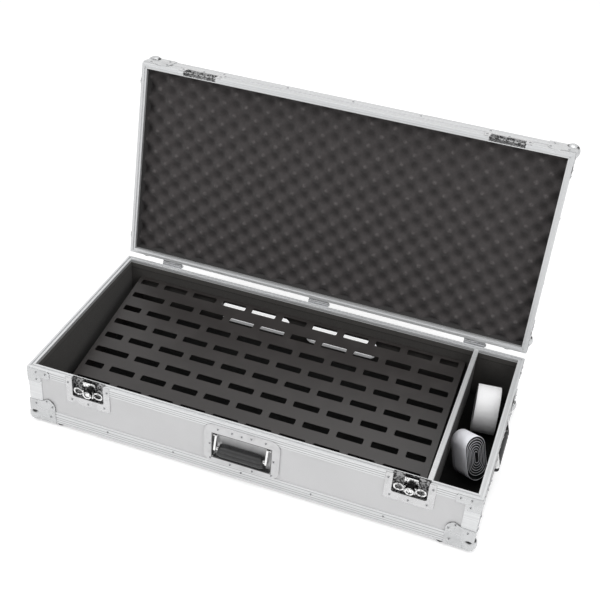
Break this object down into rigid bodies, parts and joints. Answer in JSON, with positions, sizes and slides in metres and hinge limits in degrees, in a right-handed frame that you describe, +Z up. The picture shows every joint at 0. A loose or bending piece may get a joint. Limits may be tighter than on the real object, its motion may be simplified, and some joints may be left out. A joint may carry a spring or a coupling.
{
  "type": "guitar pedal flight case",
  "caption": "Flight case with a slotted sloping pedal plate, side compartment with hook-and-loop tape rolls, foam-lined hinged lid, recessed latches and handles.",
  "frame": {"origin": "centre of the whole open case's box, on the floor under the feet", "axes": "+X along the case towards the tape compartment, +Y from the latch side to the hinge side, +Z up"},
  "size_m": [0.992, 0.6288, 0.6062],
  "materials": {
    "laminated_board": "grey plastic laminate, satin, on plywood",
    "aluminium_extrusion": "anodised satin",
    "bright_hardware": "bright plated",
    "corner_steel": "zinc plated",
    "hinge_steel": "zinc plated",
    "rubber": "matt black",
    "felt": "black felt",
    "felt_covered_board": "plywood covered with black felt",
    "foam": "dark egg-crate foam",
    "powder_coat": "satin black powder coat",
    "hook_tape": "pale woven hook tape",
    "loop_tape": "pale woven loop tape"
  },
  "bodies": {
    "case_base": {"base_ball_corners": "corner_steel", "base_corner_angles": "aluminium_extrusion", "base_corner_braces": "corner_steel", "base_edge_angles": "aluminium_extrusion", "base_feet": "rubber", "base_floor_panel": "laminated_board", "base_front_panel": "laminated_board", "base_left_panel": "laminated_board", "base_lining": "felt", "base_rear_panel": "laminated_board", "base_right_panel": "laminated_board", "base_rim_profiles": "aluminium_extrusion", "divider_cap": "aluminium_extrusion", "divider_panel": "felt_covered_board", "front_handle_plate": "corner_steel", "hinge_base_leaves": "hinge_steel", "hinge_pins": "hinge_steel", "latch_left_dish": "bright_hardware", "latch_right_dish": "bright_hardware", "left_handle_plate": "corner_steel", "right_handle_plate": "corner_steel"},
    "lid": {"hinge_lid_leaves": "hinge_steel", "lid_ball_corners": "corner_steel", "lid_corner_angles": "aluminium_extrusion", "lid_edge_angles": "aluminium_extrusion", "lid_foam": "foam", "lid_front_panel": "laminated_board", "lid_keeper_left": "bright_hardware", "lid_keeper_right": "bright_hardware", "lid_left_panel": "laminated_board", "lid_rear_panel": "laminated_board", "lid_right_panel": "laminated_board", "lid_rim_profiles": "aluminium_extrusion", "lid_top_panel": "laminated_board"},
    "front_handle": {"front_handle_bail": "bright_hardware", "front_handle_grip": "rubber"},
    "latch_left_hook": {"latch_left_hook": "bright_hardware"},
    "latch_left_rotor": {"latch_left_rotor": "bright_hardware"},
    "latch_left_wing_a": {"latch_left_wing_a": "bright_hardware"},
    "latch_left_wing_b": {"latch_left_wing_b": "bright_hardware"},
    "latch_right_hook": {"latch_right_hook": "bright_hardware"},
    "latch_right_rotor": {"latch_right_rotor": "bright_hardware"},
    "latch_right_wing_a": {"latch_right_wing_a": "bright_hardware"},
    "latch_right_wing_b": {"latch_right_wing_b": "bright_hardware"},
    "left_handle": {"left_handle_bail": "bright_hardware", "left_handle_grip": "rubber"},
    "pedal_plate": {"pedal_plate": "powder_coat"},
    "right_handle": {"right_handle_bail": "bright_hardware", "right_handle_grip": "rubber"},
    "tape_roll_front": {"tape_roll_front": "hook_tape"},
    "tape_roll_rear": {"tape_roll_rear": "loop_tape"}
  },
  "joints": [
    {"name": "lid_hinge", "type": "hinge", "parent": "case_base", "child": "lid", "pos_m": [0, 0.16616, 0.1476], "axis": [1, 0, 0], "range_deg": [0, 100.6]},
    {"name": "latch_left_turn", "type": "hinge", "parent": "case_base", "child": "latch_left_rotor", "pos_m": [-0.342, -0.29844, 0.115], "axis": [0, 1, 0], "range_deg": [0, 90]},
    {"name": "latch_left_wing_a_fold", "type": "hinge", "parent": "latch_left_rotor", "child": "latch_left_wing_a", "pos_m": [-0.3525, -0.29624, 0.115], "axis": [0, 0, 1], "range_deg": [0, 90]},
    {"name": "latch_left_wing_b_fold", "type": "hinge", "parent": "latch_left_rotor", "child": "latch_left_wing_b", "pos_m": [-0.3315, -0.29624, 0.115], "axis": [0, 0, -1], "range_deg": [0, 90]},
    {"name": "latch_left_hook_rise", "type": "slide", "parent": "case_base", "child": "latch_left_hook", "axis": [0, 0, 1], "range_m": [0, 0.012]},
    {"name": "latch_right_turn", "type": "hinge", "parent": "case_base", "child": "latch_right_rotor", "pos_m": [0.342, -0.29844, 0.115], "axis": [0, 1, 0], "range_deg": [0, 90]},
    {"name": "latch_right_wing_a_fold", "type": "hinge", "parent": "latch_right_rotor", "child": "latch_right_wing_a", "pos_m": [0.3315, -0.29624, 0.115], "axis": [0, 0, 1], "range_deg": [0, 90]},
    {"name": "latch_right_wing_b_fold", "type": "hinge", "parent": "latch_right_rotor", "child": "latch_right_wing_b", "pos_m": [0.3525, -0.29624, 0.115], "axis": [0, 0, -1], "range_deg": [0, 90]},
    {"name": "latch_right_hook_rise", "type": "slide", "parent": "case_base", "child": "latch_right_hook", "axis": [0, 0, 1], "range_m": [0, 0.012]},
    {"name": "front_handle_swing", "type": "hinge", "parent": "case_base", "child": "front_handle", "pos_m": [-0.001, -0.29544, 0.106], "axis": [-1, 0, 0], "range_deg": [0, 80]},
    {"name": "right_handle_swing", "type": "hinge", "parent": "case_base", "child": "right_handle", "pos_m": [0.477, -0.06944, 0.106], "axis": [0, -1, 0], "range_deg": [0, 80]},
    {"name": "left_handle_swing", "type": "hinge", "parent": "case_base", "child": "left_handle", "pos_m": [-0.477, -0.06944, 0.106], "axis": [0, 1, 0], "range_deg": [0, 80]},
    {"name": "pedal_plate_lift", "type": "slide", "parent": "case_base", "child": "pedal_plate", "axis": [0, 0, -1], "range_m": [-0.16, 0]},
    {"name": "tape_roll_front_lift", "type": "slide", "parent": "case_base", "child": "tape_roll_front", "axis": [0, 0, -1], "range_m": [-0.16, 0]},
    {"name": "tape_roll_rear_lift", "type": "slide", "parent": "case_base", "child": "tape_roll_rear", "axis": [0, 0, -1], "range_m": [-0.16, 0]}
  ],
  "couplings": [
    {"joint": "latch_left_turn", "follows": "latch_left_wing_b_fold", "ratio": 1},
    {"joint": "latch_left_wing_a_fold", "follows": "latch_left_wing_b_fold", "ratio": 1},
    {"joint": "latch_left_hook_rise", "follows": "latch_left_wing_b_fold", "m_per_rad": 0.0076394},
    {"joint": "latch_right_turn", "follows": "latch_right_wing_b_fold", "ratio": 1},
    {"joint": "latch_right_wing_a_fold", "follows": "latch_right_wing_b_fold", "ratio": 1},
    {"joint": "latch_right_hook_rise", "follows": "latch_right_wing_b_fold", "m_per_rad": 0.0076394}
  ]
}
